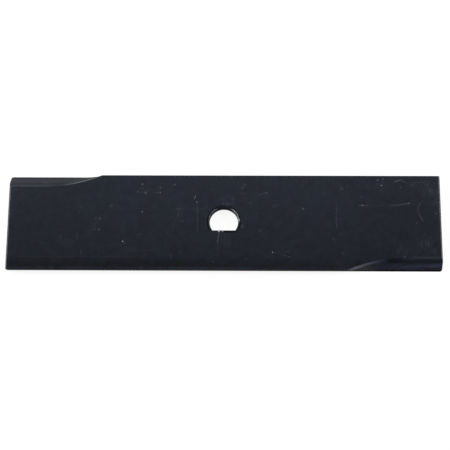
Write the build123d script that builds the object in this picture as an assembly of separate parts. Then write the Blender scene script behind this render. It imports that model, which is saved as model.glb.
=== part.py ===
from build123d import *
import math
import os

# Lawn edger blade: one flat steel bar, sheared to length, with a punched D hole at its centre and
# a ground bevel at two opposite corners, both on the front face. All sizes are in millimetres.
# X runs along the blade, Y across it, and Z up through it. The back face lies on Z = 0, and the
# centre of the hole's round wall is over the origin.

# Bar
blade_length = 228.6
blade_width = 50.8
blade_thickness = 4.76
side_edge_radius = 0.25
back_edge_radius = 0.2

# The shear that cuts the blade to length draws its ends over at the front
end_rollover_radius = 0.9

# Corners in plan: those at a cutting edge are worn round, the other two stay as sheared
tip_corner_radius = 1.2

# D hole, measured across the round wall and from the flat to the far side of the round wall
hole_diameter = 15.0
hole_across_flat = 12.0
hole_corner_radius = 0.4
hole_rollover_radius = 0.6

# Inside the hole the punch leaves a straight burnished wall, and the slug breaks out below it
hole_burnish_depth = 2.2
hole_breakout_angle = 4.0

# Bevel: a floor that rises from the cutting edge, and a gentler shoulder between it and the face
bevel_width = 6.5
shoulder_width = 2.2
shoulder_drop = 0.95
cutting_edge_height = 0.1

# Run-out of the bevel, with lengths measured along the blade from its tip
straight_length = 18.8
floor_bend = 31.5
floor_length = 33.0
cutting_edge_length = 43.5
run_out_radius = 76.2

# Under the face the cut has a lip, a part of the shoulder that grows into a steep wall along the
# run-out: wider by the same amount for each millimetre, and deeper along an arc
lip_width = 0.45
lip_spread = 0.029
lip_depth = 0.15
lip_radius = 132.0
lip_turn = 37.0

# How near the side the floor's end comes, before the wall takes over the cutting edge
floor_tail = 0.15

# How far the cutting shapes run past the steel, so that every cut is clean
overrun = 2.0

# Values that follow from the ones above
tip_x = -blade_length / 2
side_y = blade_width / 2
hole_radius = hole_diameter / 2
hole_flat_y = hole_radius - hole_across_flat
knee_inset = bevel_width - shoulder_width
floor_rise = (blade_thickness - shoulder_drop - cutting_edge_height) / knee_inset


def flat_faces(solid):
    """The faces that lie flat, with the back face first and the front face last."""
    return solid.faces().filter_by(Axis.Z).sort_by(Axis.Z)


def plan():
    """The blade's outline seen from the front, with its two worn corners."""
    outline = Rectangle(blade_length, blade_width)
    tips = outline.vertices().filter_by(lambda v: v.X * v.Y < 0)
    return fillet(tips, tip_corner_radius)


def bar():
    """The flat bar, cut to length, with rolled ends, eased sides and two worn corners."""
    solid = extrude(Rectangle(blade_length, blade_width), blade_thickness)
    solid = fillet(flat_faces(solid)[-1].edges().filter_by(Axis.Y), end_rollover_radius)
    solid = fillet(flat_faces(solid)[-1].edges().filter_by(Axis.X), side_edge_radius)
    solid = solid & extrude(plan(), blade_thickness)
    return fillet(flat_faces(solid)[0].outer_wire().edges(), back_edge_radius)


def hole_profile():
    """The D: a circle cut off by the flat, with the punch's rounded corners."""
    above_flat = Pos(0, hole_flat_y) * Rectangle(
        hole_diameter, hole_diameter, align=(Align.CENTER, Align.MIN)
    )
    profile = Circle(hole_radius) & above_flat
    return fillet(profile.vertices(), hole_corner_radius)


def hole_space():
    """The space of the hole: straight where the punch burnished it, wider where the slug broke out."""
    breakout_depth = blade_thickness - hole_burnish_depth
    at_breakout = Pos(0, 0, breakout_depth) * hole_profile()
    burnish = extrude(at_breakout, hole_burnish_depth + overrun)
    breakout = extrude(at_breakout, -breakout_depth - overrun, taper=-hole_breakout_angle)
    return burnish + breakout


def punched(solid):
    """The bar with its hole, and the steel drawn in round the hole's front rim."""
    solid = solid - hole_space()
    front_rim = flat_faces(solid)[-1].inner_wires()[0]
    return fillet(front_rim.edges(), hole_rollover_radius)


def at(along, inset, z):
    """A point given by its distance from the tip, its inset from the long side and its height."""
    return (tip_x + along, side_y - inset, z)


def floor_at(along, inset):
    """The point of the bevel's floor at a distance from the tip and an inset."""
    return at(along, inset, cutting_edge_height + inset * floor_rise)


def run_out_inset(along):
    """The inset of the bevel's outline in the front face, past its straight part."""
    past = along - straight_length
    return bevel_width - run_out_radius + math.sqrt(run_out_radius**2 - past**2)


def closed(inner, turn, leave):
    """A section of the cutting shape: its three inner edges, closed outside the steel."""
    outside = at(-overrun, -overrun, (inner @ 0).Z)
    return Wire([inner, turn, leave, Line(leave @ 1, outside), Line(outside, inner @ 0)])


def face_outline():
    """The bevel's outline in the front face: straight, then an arc that leaves over the side."""
    z = blade_thickness
    inner = Line(at(-overrun, bevel_width, z), at(straight_length, bevel_width, z))
    first = math.degrees(math.asin((lip_turn - straight_length) / run_out_radius))
    whole = math.degrees(math.acos(1 - (bevel_width + overrun) / run_out_radius))
    turn = JernArc(inner @ 1, (1, 0, 0), run_out_radius, first)
    leave = JernArc(turn @ 1, turn % 1, run_out_radius, whole - first)
    return closed(inner, turn, leave)


def lip(along):
    """The lower edge of the lip at a distance from the tip, past the straight part."""
    past = along - straight_length
    width = lip_width + lip_spread * past
    depth = lip_depth + past**2 / (2 * lip_radius)
    return at(along, run_out_inset(along) - width, blade_thickness - depth)


def lip_curve(start, end):
    """The lip's lower edge between two distances from the tip."""
    return Spline(*[lip(start + part * (end - start) / 4) for part in range(5)])


def lip_outline():
    """The section of the cut along the lip's lower edge."""
    start = lip(straight_length)
    inner = Line((tip_x - overrun, start[1], start[2]), start)
    end = cutting_edge_length + bevel_width + overrun
    return closed(inner, lip_curve(straight_length, lip_turn), lip_curve(lip_turn, end))


def floor_outline():
    """The outline of the bevel's floor: the knee line runs straight, then bends to the side."""
    inner = Line(floor_at(-overrun, knee_inset), floor_at(straight_length, knee_inset))
    turn = Bezier(inner @ 1, floor_at(floor_bend, knee_inset), floor_at(floor_length, floor_tail))
    past = (cutting_edge_length - floor_length) / 3
    leave = Line(turn @ 1, floor_at(cutting_edge_length + past, -floor_tail / 3))
    outside = floor_at(-overrun, -overrun)
    return Wire([inner, turn, leave, Line(leave @ 1, outside), Line(outside, inner @ 0)])


def bevel_cut():
    """The steel ground away at one corner, ruled from the floor's outline up to the face's."""
    return Solid.make_loft([floor_outline(), lip_outline(), face_outline()], ruled=True)


def edger_blade():
    """The whole blade. The second bevel is the first one turned half way round the hole."""
    cut = bevel_cut()
    return punched(bar()) - cut - cut.rotate(Axis.Z, 180)


os.makedirs("parts", exist_ok=True)
export_step(edger_blade(), "parts/blade.step")
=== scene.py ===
import math

import bpy
from mathutils import Matrix, Vector


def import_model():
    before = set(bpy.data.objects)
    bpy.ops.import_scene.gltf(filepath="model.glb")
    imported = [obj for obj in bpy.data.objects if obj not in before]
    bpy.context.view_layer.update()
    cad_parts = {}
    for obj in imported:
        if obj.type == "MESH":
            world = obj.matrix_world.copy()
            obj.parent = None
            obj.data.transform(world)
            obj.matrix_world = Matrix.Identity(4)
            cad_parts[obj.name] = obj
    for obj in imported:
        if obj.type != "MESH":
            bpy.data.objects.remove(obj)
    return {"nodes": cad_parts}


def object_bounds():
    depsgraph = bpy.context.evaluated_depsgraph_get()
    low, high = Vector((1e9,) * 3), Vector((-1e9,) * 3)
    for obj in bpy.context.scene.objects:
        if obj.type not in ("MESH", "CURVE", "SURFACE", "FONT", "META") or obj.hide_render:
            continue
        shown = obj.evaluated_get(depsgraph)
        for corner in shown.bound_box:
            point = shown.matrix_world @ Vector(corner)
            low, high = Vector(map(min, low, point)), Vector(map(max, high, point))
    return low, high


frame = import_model()
CAD_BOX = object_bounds()

MM = 0.001
LENGTH = CAD_BOX[1].x - CAD_BOX[0].x
WIDTH = CAD_BOX[1].y - CAD_BOX[0].y
THICKNESS = CAD_BOX[1].z - CAD_BOX[0].z

# The bevel's outline in the front face, in millimetres, as the part has it: straight from the
# tip, then an arc out to the side
BEVEL_WIDTH = 6.5
STRAIGHT = 18.8
RUN_OUT_RADIUS = 76.2

# Camera, set so that the blade's outline lies where the photograph has it
IMAGE_PX = 450
SENSOR = 36.0
FOCAL_PX = 1026.8
CAMERA_TILT = math.radians(13.1)
CAMERA_YAW = math.radians(-0.87)
CAMERA_ROLL = math.radians(-0.18)
CAMERA_DISTANCE = 0.5428
CAMERA_RIGHT = 0.58 * MM
CAMERA_DOWN = 1.12 * MM

# Marks on the front face, each given where it lies in the photograph's 450 by 450 frame

# Specks of bare steel and dust: x, y, radius and how bright
SPECKS = (
    (142.5, 184.1, 0.8, 0.14),
    (137.8, 191.8, 0.7, 0.08),
    (141.6, 192.3, 0.6, 0.06),
    (145.7, 192.7, 0.9, 0.12),
    (142.5, 211.7, 0.7, 0.17),
    (139.9, 211.6, 0.6, 0.04),
    (95.7, 218.1, 0.7, 0.04),
    (99.8, 218.6, 0.8, 0.12),
    (98.7, 229.6, 0.8, 0.09),
    (94.7, 230.0, 0.7, 0.04),
    (122.7, 241.4, 0.9, 0.19),
    (124.6, 243.2, 0.7, 0.05),
    (81.3, 207.1, 0.8, 0.04),
    (78.9, 211.9, 0.7, 0.03),
    (175.4, 177.4, 0.6, 0.07),
    (174.9, 184.5, 0.9, 0.12),
    (160.5, 187.5, 0.8, 0.11),
    (160.1, 192.6, 0.9, 0.11),
    (181.6, 192.6, 0.7, 0.04),
    (196.9, 201.9, 1.0, 0.10),
    (206.6, 206.9, 0.7, 0.11),
    (223.2, 204.1, 0.6, 0.07),
    (272.6, 252.3, 0.8, 0.20),
    (275.6, 252.4, 0.6, 0.05),
    (278.4, 252.2, 0.6, 0.04),
    (303.2, 208.7, 0.8, 0.13),
    (377.5, 180.3, 0.9, 0.12),
    (383.0, 178.9, 0.7, 0.09),
    (381.5, 185.4, 0.8, 0.16),
    (380.2, 190.3, 0.6, 0.05),
    (400.9, 187.4, 0.8, 0.06),
    (362.4, 205.4, 0.8, 0.13),
    (408.6, 203.2, 0.7, 0.08),
    (404.8, 256.9, 0.8, 0.08),
    (343.5, 253.6, 0.8, 0.04),
    (333.5, 238.8, 0.8, 0.04),
    (435.8, 213.3, 0.8, 0.07),
    (336.4, 203.7, 0.6, 0.04),
    (416.7, 222.9, 0.6, 0.06),
    (141.6, 267.3, 0.6, 0.12),
    (218.9, 231.1, 1.0, 0.50),
    (222.7, 231.0, 0.9, 0.40),
    (239.4, 220.2, 1.0, 0.25),
)

# Soft pale blots, where the paint is rubbed: x, y, radius and how bright
BLOTS = (
    (242.3, 188.0, 2.4, 0.020),
    (244.7, 185.0, 2.0, 0.014),
    (242.0, 193.5, 2.0, 0.012),
    (250.4, 202.8, 1.8, 0.016),
    (242.3, 226.3, 3.0, 0.020),
    (240.5, 221.5, 2.0, 0.012),
    (276.8, 205.2, 2.2, 0.014),
    (273.8, 206.6, 1.8, 0.010),
    (260.0, 230.6, 2.0, 0.016),
    (180.2, 251.1, 1.8, 0.014),
    (171.0, 255.9, 2.2, 0.012),
    (139.2, 234.4, 1.8, 0.014),
    (103.3, 252.5, 1.6, 0.010),
    (60.3, 236.8, 2.2, 0.010),
    (167.2, 233.9, 1.4, 0.010),
    (191.1, 235.8, 1.6, 0.010),
    (222.6, 199.2, 2.0, 0.010),
    (213.1, 261.6, 1.6, 0.014),
    (245.7, 259.2, 1.6, 0.014),
    (341.6, 188.4, 2.6, 0.022),
    (346.9, 186.0, 1.8, 0.012),
    (360.7, 196.6, 1.8, 0.014),
    (323.0, 193.7, 2.0, 0.012),
    (341.1, 234.4, 1.8, 0.012),
    (17.0, 190.0, 1.4, 0.010),
    (40.4, 242.6, 2.2, 0.008),
    (227.0, 205.5, 3.4, 0.012),
    (232.5, 199.0, 3.0, 0.010),
    (412.0, 185.0, 3.4, 0.010),
    (430.0, 190.0, 4.0, 0.012),
)

# Scratches: from x, y to x, y, half the width and how bright
SCRATCHES = (
    (197.4, 203.5, 197.4, 231.4, 0.50, 0.018),
    (195.5, 195.8, 194.4, 198.8, 0.45, 0.090),
    (175.0, 209.0, 211.0, 209.0, 0.40, 0.012),
    (101.0, 209.0, 150.0, 208.6, 0.40, 0.005),
    (205.3, 209.0, 205.3, 231.0, 0.40, 0.006),
    (180.6, 219.9, 198.8, 220.1, 0.40, 0.006),
    (176.0, 209.2, 180.8, 208.6, 0.60, 0.025),
    (178.8, 211.0, 178.2, 216.6, 0.60, 0.020),
    (181.6, 212.8, 181.8, 216.0, 0.50, 0.016),
    (179.6, 221.6, 183.4, 221.2, 0.60, 0.022),
    (172.8, 223.0, 172.8, 229.0, 0.50, 0.010),
    (154.8, 192.6, 158.6, 192.6, 0.50, 0.025),
    (109.5, 206.7, 112.9, 204.7, 0.60, 0.028),
    (17.0, 256.4, 131.0, 256.5, 0.40, 0.007),
    (126.0, 250.1, 158.0, 250.1, 0.40, 0.006),
    (77.3, 232.6, 77.3, 238.2, 0.50, 0.014),
    (80.8, 250.0, 80.8, 254.2, 0.50, 0.014),
    (258.1, 195.6, 264.6, 193.3, 0.50, 0.022),
    (265.6, 192.9, 267.4, 192.5, 0.60, 0.040),
    (260.0, 198.0, 270.5, 196.0, 0.50, 0.008),
    (218.9, 232.0, 217.4, 242.6, 0.50, 0.045),
    (221.6, 233.0, 221.0, 246.0, 0.40, 0.012),
    (224.6, 233.0, 224.4, 247.0, 0.40, 0.010),
    (227.6, 234.0, 227.4, 249.0, 0.40, 0.008),
    (229.6, 233.0, 229.6, 244.0, 0.40, 0.010),
    (218.0, 243.0, 217.6, 251.0, 0.40, 0.014),
    (283.0, 255.0, 289.7, 256.8, 0.50, 0.022),
    (286.0, 252.6, 288.6, 251.4, 0.60, 0.018),
    (336.4, 206.2, 336.4, 227.8, 0.45, 0.018),
    (359.4, 205.5, 367.4, 205.5, 0.50, 0.030),
    (368.0, 205.6, 391.0, 205.6, 0.40, 0.006),
    (391.0, 205.6, 399.4, 205.0, 0.50, 0.026),
    (399.4, 205.0, 409.8, 203.2, 0.50, 0.040),
    (394.2, 181.7, 400.4, 179.9, 0.60, 0.045),
    (400.4, 179.9, 406.4, 183.0, 0.50, 0.024),
    (413.6, 182.6, 424.4, 182.0, 0.50, 0.014),
    (419.8, 203.0, 417.6, 208.5, 0.45, 0.024),
    (417.6, 208.5, 419.4, 214.7, 0.45, 0.032),
    (419.4, 214.7, 423.0, 220.8, 0.45, 0.040),
    (422.8, 200.8, 418.6, 206.2, 0.40, 0.016),
    (412.9, 257.4, 438.6, 257.4, 0.90, 0.013),
    (226.5, 203.8, 233.2, 203.6, 0.50, 0.018),
    (15.0, 189.6, 17.4, 189.4, 0.50, 0.018),
    (19.0, 189.9, 25.0, 189.6, 0.50, 0.012),
)

# Patches where the paint is scuffed: x, y, radius, how bright, and 1 for scuffs across the blade
# or 0 for fine specks
PATCHES = (
    (427.0, 246.0, 17.0, 0.014, 1),
    (430.0, 189.0, 15.0, 0.014, 1),
    (437.0, 205.0, 9.0, 0.012, 1),
    (402.0, 250.0, 13.0, 0.009, 1),
    (381.0, 184.0, 9.0, 0.030, 0),
    (145.0, 189.0, 9.0, 0.016, 0),
    (164.0, 189.0, 13.0, 0.016, 0),
    (179.0, 214.0, 8.0, 0.012, 0),
    (229.0, 200.0, 12.0, 0.012, 0),
    (239.0, 212.0, 8.0, 0.010, 0),
    (68.0, 239.0, 12.0, 0.007, 1),
    (215.0, 259.0, 15.0, 0.008, 0),
    (20.0, 196.0, 9.0, 0.008, 1),
    (420.0, 181.0, 18.0, 0.010, 0),
    (340.0, 266.0, 13.0, 0.016, 0),
    (96.0, 224.0, 9.0, 0.010, 1),
)

# Surroundings
FLOOR_SIZE = 12.0
FLOOR_Z = -0.02 * MM
FLOOR_COLOUR = 0.15
FLOOR_GLOW = 0.89

# How bright the studio is at each angle from straight up, in degrees, towards the far side of the
# blade when positive: a pale sweep all round, dim overhead and on the side where the camera stands
STUDIO = (
    (-90, 0.90),
    (-81, 0.60),
    (-70, 0.09),
    (-45, 0.06),
    (0, 0.01),
    (9, 0.02),
    (19, 0.48),
    (45, 0.72),
    (62, 0.92),
    (71, 0.60),
    (79, 0.15),
    (90, 0.20),
)


class Nodes:
    """A node tree with short calls for the nodes that the materials here are made of."""

    def __init__(self, tree):
        self.tree = tree
        tree.nodes.clear()

    def new(self, kind, **settings):
        node = self.tree.nodes.new(kind)
        for name, value in settings.items():
            setattr(node, name, value)
        return node

    def link(self, value, socket):
        if isinstance(value, bpy.types.NodeSocket):
            self.tree.links.new(value, socket)
        else:
            socket.default_value = value

    def math(self, operation, a, b=0.0, c=0.0):
        node = self.new("ShaderNodeMath", operation=operation)
        for value, socket in zip((a, b, c), node.inputs):
            self.link(value, socket)
        return node.outputs[0]

    def ramp(self, value, low, high, to_low=0.0, to_high=1.0, smooth=True):
        """value from low to high becomes to_low to to_high, held at both ends."""
        node = self.new("ShaderNodeMapRange", clamp=not smooth)
        node.interpolation_type = "SMOOTHSTEP" if smooth else "LINEAR"
        for v, socket in zip((value, low, high, to_low, to_high), node.inputs):
            self.link(v, socket)
        return node.outputs[0]

    def noise(self, where, scale, detail=2.0, rough=0.5, colour=False):
        node = self.new("ShaderNodeTexNoise")
        self.link(where, node.inputs["Vector"])
        node.inputs["Scale"].default_value = scale
        node.inputs["Detail"].default_value = detail
        node.inputs["Roughness"].default_value = rough
        return node.outputs["Color" if colour else "Fac"]

    def stretch(self, where, x, y, z):
        """A place scaled along each axis, so that a pattern laid by it is stretched or flattened."""
        node = self.new("ShaderNodeMapping")
        self.link(where, node.inputs["Vector"])
        node.inputs["Scale"].default_value = (x, y, z)
        return node.outputs[0]

    def turned(self, where, angle):
        """A place turned about the Z axis."""
        node = self.new("ShaderNodeMapping")
        self.link(where, node.inputs["Vector"])
        node.inputs["Rotation"].default_value = (0, 0, angle)
        return node.outputs[0]

    def split(self, vector):
        node = self.new("ShaderNodeSeparateXYZ")
        self.link(vector, node.inputs[0])
        return node.outputs

    def vector(self, operation, a, b, result="Vector"):
        node = self.new("ShaderNodeVectorMath", operation=operation)
        self.link(a, node.inputs[0])
        if b is not None:
            self.link(b, node.inputs[1])
        return node.outputs[result]

    def mix(self, factor, a, b):
        node = self.new("ShaderNodeMix", data_type="RGBA")
        self.link(factor, node.inputs[0])
        self.link(a, node.inputs[6])
        self.link(b, node.inputs[7])
        return node.outputs[2]

    def brighter(self, colour, times):
        """A colour times a number, which may change over the surface."""
        node = self.new("ShaderNodeVectorMath", operation="SCALE")
        self.link(colour, node.inputs[0])
        self.link(times, node.inputs["Scale"])
        return node.outputs[0]

    def tinted(self, colour, tint, shade):
        """A colour times a tint and a shade that change over the surface."""
        return self.brighter(self.vector("MULTIPLY", tint, colour[:3]), shade)

    def lighter(self, colour, amount, white):
        """A colour with some of a white added."""
        node = self.new("ShaderNodeVectorMath", operation="SCALE")
        node.inputs[0].default_value = white[:3]
        self.link(amount, node.inputs["Scale"])
        return self.vector("ADD", colour, node.outputs[0])


def on_face(x, y):
    """The point of the front face, in millimetres, that the photograph shows at x, y."""
    view = bpy.context.scene.camera.matrix_world
    ray = view.to_3x3() @ Vector(((x - IMAGE_PX / 2) / FOCAL_PX, (IMAGE_PX / 2 - y) / FOCAL_PX, -1))
    far = (THICKNESS - view.translation.z) / ray.z
    point = view.translation + far * ray
    return Vector((point.x, point.y, 0)) / MM


def pixel():
    """How many millimetres of the front face one pixel of the photograph spans."""
    return (on_face(226, 225) - on_face(225, 225)).length


class Marks:
    """Adds up marks on a flat face: spots, and lines with round ends."""

    def __init__(self, n, flat):
        self.n = n
        self.flat = flat
        self.total = None

    def add(self, distance, inner, outer, level):
        mark = self.n.ramp(distance, inner, outer, level, 0.0)
        self.total = mark if self.total is None else self.n.math("MAXIMUM", self.total, mark)

    def spot(self, centre, radius, level, core=0.35):
        n = self.n
        away = n.vector("DISTANCE", self.flat, centre, "Value")
        self.add(away, radius * core, radius, level)

    def line(self, start, end, half_width, level):
        n = self.n
        run = end - start
        ahead = n.vector("SUBTRACT", self.flat, start)
        part = n.vector("DOT_PRODUCT", ahead, run / run.length_squared, "Value")
        part = n.math("MINIMUM", n.math("MAXIMUM", part, 0.0), 1.0)
        foot = n.new("ShaderNodeVectorMath", operation="SCALE")
        foot.inputs[0].default_value = run
        n.link(part, foot.inputs["Scale"])
        away = n.vector("DISTANCE", ahead, foot.outputs[0], "Value")
        self.add(away, half_width * 0.3, half_width * 1.3, level)


def paint_material():
    """The blade's satin black paint over ground and sheared steel, with its marks and wear."""
    material = bpy.data.materials.new("blade_paint")
    material.use_nodes = True
    n = Nodes(material.node_tree)
    out = n.new("ShaderNodeOutputMaterial")
    shader = n.new("ShaderNodeBsdfPrincipled")
    n.tree.links.new(shader.outputs[0], out.inputs["Surface"])
    shader.inputs["Specular IOR Level"].default_value = 0.4

    # Where on the blade, in millimetres, and which way the surface faces
    spot = n.new("ShaderNodeTexCoord")
    place = n.stretch(spot.outputs["Object"], 1000, 1000, 1000)
    x, y, z = n.split(place)
    _, ny, nz = n.split(spot.outputs["Normal"])
    upright = n.math("ABSOLUTE", nz)
    cut = n.ramp(upright, 0.25, 0.50, 1.0, 0.0)
    front = n.ramp(nz, 0.90, 0.97)
    along = n.math("SUBTRACT", LENGTH / 2 / MM, n.math("ABSOLUTE", x))
    inset = n.math("SUBTRACT", WIDTH / 2 / MM, n.math("ABSOLUTE", y))

    # The ground bevels, at the two corners where x and y differ in sign
    corner = n.math("LESS_THAN", n.math("MULTIPLY", x, y), 0.0)
    corner = n.math("MULTIPLY", corner, n.math("LESS_THAN", along, 50.5))
    sloped = n.math("MULTIPLY", n.ramp(nz, 0.30, 0.36), n.ramp(nz, 0.985, 0.96))
    sloped = n.math("MULTIPLY", sloped, n.ramp(n.math("ABSOLUTE", ny), 0.15, 0.30))
    ground = n.math("MULTIPLY", corner, sloped)
    floor_part = n.math("MULTIPLY", ground, n.ramp(nz, 0.86, 0.82))
    right = n.math("GREATER_THAN", x, 0.0)
    run_out = n.ramp(n.math("SUBTRACT", along, n.math("MULTIPLY", right, 9.0)), 18.0, 22.0)
    run_out = n.math("MULTIPLY", run_out, floor_part)
    brink = n.math("MULTIPLY", n.ramp(inset, 1.0, 0.5), ground)

    # The rolled front rims round the outside and round the hole
    rim = n.math("MULTIPLY", n.ramp(nz, 0.97, 0.86), n.ramp(nz, 0.05, 0.25))
    rim = n.math("MULTIPLY", rim, n.math("SUBTRACT", 1.0, ground))

    # Slow changes of tint, and the fine grain of the paint
    cloud = n.noise(place, 0.09, 2.0, 0.5, colour=True)
    tint = n.mix(0.14, (1, 1, 1, 1), n.brighter(cloud, 2.0))
    grain = n.noise(place, 1.3, 3.0, 0.6)
    blotch = n.noise(place, 0.30, 3.0, 0.6)
    shade = n.math("MULTIPLY", n.ramp(grain, 0.25, 0.75, 0.72, 1.28, smooth=False),
                   n.ramp(blotch, 0.25, 0.75, 0.80, 1.20, smooth=False))

    # Painted shade: the face is a little darker towards its ends and its near side, most of all along the edge, and
    # lighter towards its far side
    near_side_painted_shade = n.math("MULTIPLY", n.ramp(y, -17.0, -23.5), n.ramp(x, 20.0, -40.0, 0.35, 0.55))
    near_side_painted_shade = n.math("MULTIPLY", near_side_painted_shade, front)
    shade = n.math("MULTIPLY", shade, n.math("SUBTRACT", 1.0, near_side_painted_shade))
    shade = n.math("MULTIPLY", shade, n.ramp(y, -25.0, 25.0, 0.80, 1.20, smooth=False))
    shade = n.math("MULTIPLY", shade, n.ramp(along, 0.0, 70.0, 0.82, 0.98))
    shade = n.math("MULTIPLY", shade, n.ramp(x, 50.0, 100.0, 1.0, 0.90))

    # Painted highlights of the rolled edges: a pale strip at each end, and a pale line along the near edge
    end_painted_highlight = n.math("MULTIPLY", n.ramp(along, 3.2, 1.2), n.ramp(y, -22.0, 18.0, 0.25, 0.60))
    near_edge_painted_highlight = n.math("MULTIPLY", n.ramp(y, -24.2, -24.5), n.ramp(y, -25.15, -24.95))
    near_edge_painted_highlight = n.math("MULTIPLY", near_edge_painted_highlight, n.ramp(x, 30.0, -10.0, 0.6, 2.4))
    near_edge_painted_highlight = n.math("MULTIPLY", near_edge_painted_highlight, n.ramp(blotch, 0.30, 0.60, 0.5, 1.0))
    rolled_edge_painted_highlights = n.math("MULTIPLY", n.math("ADD", end_painted_highlight, near_edge_painted_highlight), front)
    shade = n.math("MULTIPLY", shade, n.math("ADD", rolled_edge_painted_highlights, 1.0))
    base = n.tinted((0.0088, 0.0113, 0.0190, 1), tint, shade)

    # Painted light and shade on the shoulder of a bevel: pale under the face, darkening to its knee
    at_knee = n.math("MULTIPLY_ADD", right, 0.60, 0.40)
    at_face = n.math("MULTIPLY_ADD", right, 1.0, 2.1)
    shoulder_light_and_shade = n.ramp(inset, 4.3, 6.5, at_knee, at_face, smooth=False)
    shoulder_light_and_shade = n.brighter(n.mix(right, (1, 1, 1, 1), (1.04, 1.02, 0.90, 1)), shoulder_light_and_shade)
    shoulder_light_and_shade = n.mix(n.math("MULTIPLY", ground, n.ramp(along, 26.0, 16.0)), (1, 1, 1, 1), shoulder_light_and_shade)
    base = n.vector("MULTIPLY", base, shoulder_light_and_shade)

    # Grinding streaks along the bevels, which turn down to the cutting edge with the floor's end
    bend = n.ramp(along, 17.0, 36.0, 0.0, 6.0)
    down = n.math("ADD", inset, bend)
    lane = n.new("ShaderNodeCombineXYZ")
    n.link(n.math("MULTIPLY", x, 0.035), lane.inputs["X"])
    n.link(n.math("MULTIPLY", down, 1.5), lane.inputs["Y"])
    streak = n.noise(lane.outputs[0], 1.0, 1.0, 0.6)
    # Each bevel has colours of its own; where they differ between the two, that is painted light and shade for how
    # each is lit
    dark = n.mix(right, (0.0010, 0.0025, 0.0110, 1), (0.0001, 0.0004, 0.0024, 1))
    light = n.mix(right, (0.0066, 0.0088, 0.0330, 1), (0.0165, 0.0200, 0.0440, 1))
    # Painted shade: the light streaks dim towards the knee and towards the cutting edge
    light = n.brighter(light, n.math("MULTIPLY", n.ramp(inset, 4.4, 2.6, 0.15, 1.0),
                                     n.ramp(inset, 0.8, 1.9, 0.6, 1.0)))
    light = n.brighter(light, n.ramp(along, 9.0, 2.0, 1.0, n.math("MULTIPLY_ADD", right, 0.8, 1.0)))
    worn_end = n.math("MULTIPLY", n.ramp(along, 9.0, 3.0), n.math("SUBTRACT", 1.0, right))
    light = n.mix(worn_end, light, (0.0110, 0.0118, 0.0200, 1))
    streak_tint = n.mix(n.ramp(streak, 0.42, 0.56), dark, light)
    base = n.mix(floor_part, base, streak_tint)
    smooth_tint = n.mix(right, (0.0010, 0.0047, 0.0090, 1), (0.0075, 0.0110, 0.0300, 1))
    smooth_tint = n.brighter(smooth_tint, n.ramp(streak, 0.42, 0.56, n.math("MULTIPLY_ADD", right, -0.6, 1.0), 1.1))
    base = n.mix(run_out, base, smooth_tint)
    # Painted shade: the rims round the outside and the hole, and the brink of each bevel, are darkened towards
    # black
    base = n.mix(n.math("MULTIPLY", n.math("MAXIMUM", brink, rim), 0.8), base, (0, 0, 0, 1))

    # A painted highlight along the sharp upper rim of the run-out, more so towards its far end, and paler on the
    # left-hand bevel
    past = n.math("SUBTRACT", along, STRAIGHT)
    reach = n.math("ADD", inset, RUN_OUT_RADIUS - BEVEL_WIDTH)
    out_from = n.math("SQRT", n.math("ADD", n.math("MULTIPLY", past, past), n.math("MULTIPLY", reach, reach)))
    wide = n.ramp(past, 2.0, 24.0, RUN_OUT_RADIUS - 0.40, RUN_OUT_RADIUS - 0.65, smooth=False)
    run_out_painted_highlight = n.ramp(n.math("SUBTRACT", out_from, wide), -0.25, 0.25)
    shown = n.ramp(n.math("SUBTRACT", past, n.math("MULTIPLY", right, 8.0)), 5.0, 28.0)
    run_out_painted_highlight = n.math("MULTIPLY", n.math("MULTIPLY", run_out_painted_highlight, ground), shown)
    base = n.mix(run_out_painted_highlight, base, n.mix(right, (0.112, 0.122, 0.140, 1), (0.035, 0.050, 0.105, 1)))

    # Round the hole the punch drew the rim over. Painted highlights on the rim at the upper right and upper left,
    # broken up by noise, and painted shade: dark lines just outside the rim and inside it on the wall, and along
    # part of the flat
    level_place = n.stretch(place, 1.0, 1.0, 0.0)
    from_hole = n.vector("LENGTH", level_place, None, "Value")
    turn = n.math("ARCTAN2", y, x)
    hole_rim_highlight_breakup = n.noise(n.stretch(place, 1.6, 1.6, 0.0), 1.0, 2.0, 0.6)
    hole_rim_painted_highlight = n.ramp(n.math("ABSOLUTE", n.math("SUBTRACT", from_hole, 8.05)), 0.34, 0.10)
    upper_right = n.ramp(n.math("ABSOLUTE", n.math("SUBTRACT", turn, 0.55)), 0.62, 0.40, 0.0, 0.42)
    upper_left = n.ramp(n.math("ABSOLUTE", n.math("SUBTRACT", turn, 2.45)), 0.50, 0.25, 0.0, 0.16)
    hole_rim_painted_highlight = n.math("MULTIPLY", hole_rim_painted_highlight, n.math("ADD", upper_right, upper_left))
    hole_rim_painted_highlight = n.math("MULTIPLY", hole_rim_painted_highlight, n.ramp(hole_rim_highlight_breakup, 0.40, 0.58, 0.10, 1.0))
    hole_edge_painted_shade = n.ramp(n.math("ABSOLUTE", n.math("SUBTRACT", from_hole, 8.62)), 0.40, 0.10)
    hole_edge_painted_shade = n.math("MAXIMUM", hole_edge_painted_shade, n.ramp(from_hole, 7.85, 7.70, 0.0, 0.6))
    hole_edge_painted_shade = n.math("MULTIPLY", hole_edge_painted_shade, n.ramp(y, -5.2, -3.0))
    by_flat = n.math("MULTIPLY", n.ramp(n.math("ABSOLUTE", n.math("ADD", y, 5.35)), 0.45, 0.15),
                     n.math("MULTIPLY", n.ramp(x, -1.0, 1.0), n.ramp(x, 6.8, 6.0)))
    hole_edge_painted_shade = n.math("MAXIMUM", hole_edge_painted_shade, by_flat)
    base = n.mix(n.math("MULTIPLY", hole_edge_painted_shade, 0.8), base, (0, 0, 0, 1))
    base = n.lighter(base, hole_rim_painted_highlight, (0.92, 0.96, 1.06, 1))

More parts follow.
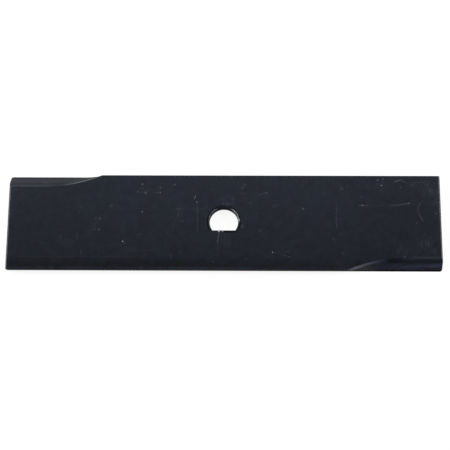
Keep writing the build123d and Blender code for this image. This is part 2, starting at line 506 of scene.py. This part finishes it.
    # Scuffed patches of the front face
    size = pixel()
    across = n.ramp(n.noise(n.stretch(place, 2.4, 0.22, 0.0), 1.0, 2.0, 0.6), 0.46, 0.62)
    specks = n.ramp(n.noise(level_place, 1.9, 1.0, 0.5), 0.54, 0.70)
    scuffs = 0.0
    for px, py, radius, level, way in PATCHES:
        away = n.vector("DISTANCE", level_place, on_face(px, py), "Value")
        patch = n.ramp(away, 0.2 * radius * size, radius * size, level, 0.0)
        scuffs = n.math("ADD", scuffs, n.math("MULTIPLY", patch, across if way else specks))
    base = n.lighter(base, n.math("MULTIPLY", scuffs, front), (0.92, 0.97, 1.12, 1))

    # The back has a few long scratches, lengthwise and aslant
    lengthwise = n.noise(n.stretch(place, 0.035, 2.2, 0.0), 1.0, 1.0, 0.5)
    lengthwise = n.ramp(lengthwise, 0.66, 0.76, 0.0, 0.050)
    slanting = n.noise(n.stretch(n.turned(place, 0.42), 0.05, 2.6, 0.0), 1.0, 1.0, 0.5)
    slanting = n.ramp(slanting, 0.68, 0.78, 0.0, 0.040)
    back = n.math("MULTIPLY", n.ramp(nz, -0.90, -0.97), n.math("MAXIMUM", lengthwise, slanting))
    base = n.lighter(base, back, (0.95, 0.97, 1.0, 1))

    # The sheared and punched walls: a smooth band by the front, then a torn one, dull and browner
    wall_grain = n.noise(n.stretch(place, 1.1, 1.1, 0.5), 1.0, 3.0, 0.6)
    wall = n.mix(n.ramp(z, 2.9, 2.3), (0.012, 0.014, 0.018, 1), (0.0195, 0.0188, 0.0190, 1))
    wall = n.brighter(wall, n.ramp(wall_grain, 0.3, 0.7, 0.6, 1.5, smooth=False))
    base = n.mix(n.math("MULTIPLY", cut, n.math("SUBTRACT", 1.0, ground)), base, wall)

    # Marks on the front face
    wobble = n.noise(place, 1.6, 2.0, 0.6, colour=True)
    moved = n.vector("ADD", place, n.brighter(n.vector("SUBTRACT", wobble, (0.5, 0.5, 0.5)), 0.9))
    flat = n.vector("MULTIPLY", moved, (1, 1, 0))
    marks = Marks(n, flat)
    for px, py, radius, level in SPECKS:
        marks.spot(on_face(px, py), radius * size, level)
    for px, py, radius, level in BLOTS:
        marks.spot(on_face(px, py), radius * size, level, core=0.0)
    for x0, y0, x1, y1, half, level in SCRATCHES:
        marks.line(on_face(x0, y0), on_face(x1, y1), half * size, level)
    marked = n.math("MULTIPLY", marks.total, front)
    base = n.lighter(base, marked, (0.92, 0.96, 1.06, 1))
    n.link(base, shader.inputs["Base Color"])

    # Painted shade: at the rims, the brink and the dark lines round the hole, the black colour is made metal, which
    # takes the sheen off so that they stay dark
    rim = n.math("MULTIPLY", rim, n.ramp(from_hole, 8.9, 9.5, 0.5, 1.0))
    no_sheen = n.math("MAXIMUM", rim, n.math("MULTIPLY", n.math("MAXIMUM", brink, hole_edge_painted_shade), 0.7))
    no_sheen = n.math("MULTIPLY", no_sheen, n.ramp(hole_rim_painted_highlight, 0.0, 0.08, 1.0, 0.0))
    n.link(no_sheen, shader.inputs["Metallic"])

    # Satin on the faces, matt where the steel was sheared and punched
    gloss = n.ramp(n.noise(place, 0.22, 3.0, 0.6), 0.3, 0.7, 0.25, 0.31)
    drawn = n.math("MULTIPLY", n.ramp(upright, 0.97, 0.50, 0.0, 0.65), n.math("SUBTRACT", 1.0, ground))
    ground_gloss = n.math("MULTIPLY", floor_part, n.math("MULTIPLY_ADD", right, -0.17, 0.25))
    rough = n.math("ADD", gloss, n.math("ADD", drawn, ground_gloss))
    n.link(rough, shader.inputs["Roughness"])

    # Height of the paint and of the marks of the tools, in millimetres
    skin = n.math("MULTIPLY", n.noise(place, 0.55, 4.0, 0.6), n.ramp(upright, 0.80, 0.97, 0.0, 0.020))
    lines = n.math("MULTIPLY", n.math("MULTIPLY", streak, ground), 0.030)
    draw = n.noise(n.stretch(place, 3.0, 3.0, 0.25), 1.0, 3.0, 0.6)
    torn = n.math("MULTIPLY", n.math("MULTIPLY", draw, cut), 0.10)
    height = n.math("ADD", n.math("ADD", skin, lines), torn)
    bump = n.new("ShaderNodeBump")
    bump.inputs["Strength"].default_value = 1.0
    bump.inputs["Distance"].default_value = MM
    n.link(height, bump.inputs["Height"])
    n.tree.links.new(bump.outputs[0], shader.inputs["Normal"])
    return material


def camera():
    turn = (
        Matrix.Rotation(CAMERA_ROLL, 3, "Z")
        @ Matrix.Rotation(CAMERA_YAW, 3, "Y")
        @ Matrix.Rotation(-CAMERA_TILT, 3, "X")
    )
    data = bpy.data.cameras.new("camera")
    data.sensor_width = SENSOR
    data.lens = FOCAL_PX / IMAGE_PX * SENSOR
    data.clip_start = 0.01
    item = bpy.data.objects.new("camera", data)
    pivot = Matrix.Translation((0, 0, THICKNESS / 2))
    back = Matrix.Translation((CAMERA_RIGHT, -CAMERA_DOWN, CAMERA_DISTANCE))
    item.matrix_world = pivot @ turn.transposed().to_4x4() @ back
    bpy.context.scene.collection.objects.link(item)
    bpy.context.scene.camera = item


def seen_directly(n):
    """1 for rays that show the surroundings: the camera's, and those through gloss or glass."""
    path = n.new("ShaderNodeLightPath")
    direct = n.math("MAXIMUM", path.outputs["Is Camera Ray"], path.outputs["Is Glossy Ray"])
    return n.math("MAXIMUM", direct, path.outputs["Is Transmission Ray"])


def floor():
    """A plain white floor. Its glow is only seen, and doesn't light the blade, so its shadow stays."""
    mesh = bpy.data.meshes.new("floor")
    half = FLOOR_SIZE / 2
    corners = [(-half, -half, FLOOR_Z), (half, -half, FLOOR_Z), (half, half, FLOOR_Z), (-half, half, FLOOR_Z)]
    mesh.from_pydata(corners, [], [(0, 1, 2, 3)])
    item = bpy.data.objects.new("floor", mesh)
    bpy.context.scene.collection.objects.link(item)
    material = bpy.data.materials.new("floor_white")
    material.use_nodes = True
    n = Nodes(material.node_tree)
    out = n.new("ShaderNodeOutputMaterial")
    shader = n.new("ShaderNodeBsdfPrincipled")
    n.tree.links.new(shader.outputs[0], out.inputs["Surface"])
    shader.inputs["Base Color"].default_value = (FLOOR_COLOUR, FLOOR_COLOUR, FLOOR_COLOUR, 1)
    shader.inputs["Roughness"].default_value = 0.9
    shader.inputs["Specular IOR Level"].default_value = 0.0
    shader.inputs["Emission Color"].default_value = (1, 1, 1, 1)
    n.link(n.math("MULTIPLY", seen_directly(n), FLOOR_GLOW), shader.inputs["Emission Strength"])
    mesh.materials.append(material)


def world():
    """The studio round the blade, its brightness set by the direction that a ray goes in."""
    item = bpy.data.worlds.new("studio")
    bpy.context.scene.world = item
    item.use_nodes = True
    n = Nodes(item.node_tree)
    out = n.new("ShaderNodeOutputWorld")
    background = n.new("ShaderNodeBackground")
    n.tree.links.new(background.outputs[0], out.inputs["Surface"])
    where = n.new("ShaderNodeTexCoord").outputs["Generated"]
    axes = n.new("ShaderNodeSeparateXYZ")
    n.link(where, axes.inputs[0])
    angle = n.math("ARCTAN2", axes.outputs["Y"], axes.outputs["Z"])
    place = n.ramp(angle, -math.pi / 2, math.pi / 2, smooth=False)
    ramp = n.new("ShaderNodeValToRGB")
    n.link(place, ramp.inputs[0])
    stops = ramp.color_ramp.elements
    for i, (degrees, level) in enumerate(STUDIO):
        position = (degrees + 90) / 180
        if 0 < i < len(STUDIO) - 1:
            stops.new(position)
        stops[i].position = position
        stops[i].color = (level, level, level, 1)
    n.link(ramp.outputs["Color"], background.inputs["Color"])


def area_light(name, place, aim, width, height, watts):
    data = bpy.data.lights.new(name, "AREA")
    data.shape = "RECTANGLE"
    data.size = width
    data.size_y = height
    data.energy = watts
    item = bpy.data.objects.new(name, data)
    item.location = place
    item.rotation_euler = (Vector(aim) - Vector(place)).to_track_quat("-Z", "Y").to_euler()
    bpy.context.scene.collection.objects.link(item)


camera()
floor()
world()
area_light("key", (-1.6, 0.4, 0.95), (0, 0, 0), 0.8, 0.8, 34)
area_light("fill", (1.6, 0.3, 0.95), (0, 0, 0), 0.8, 0.8, 30)

blade = frame["nodes"]["blade"]
blade.material_slots[0].material = paint_material()

scene = bpy.context.scene
scene.view_settings.view_transform = "Standard"
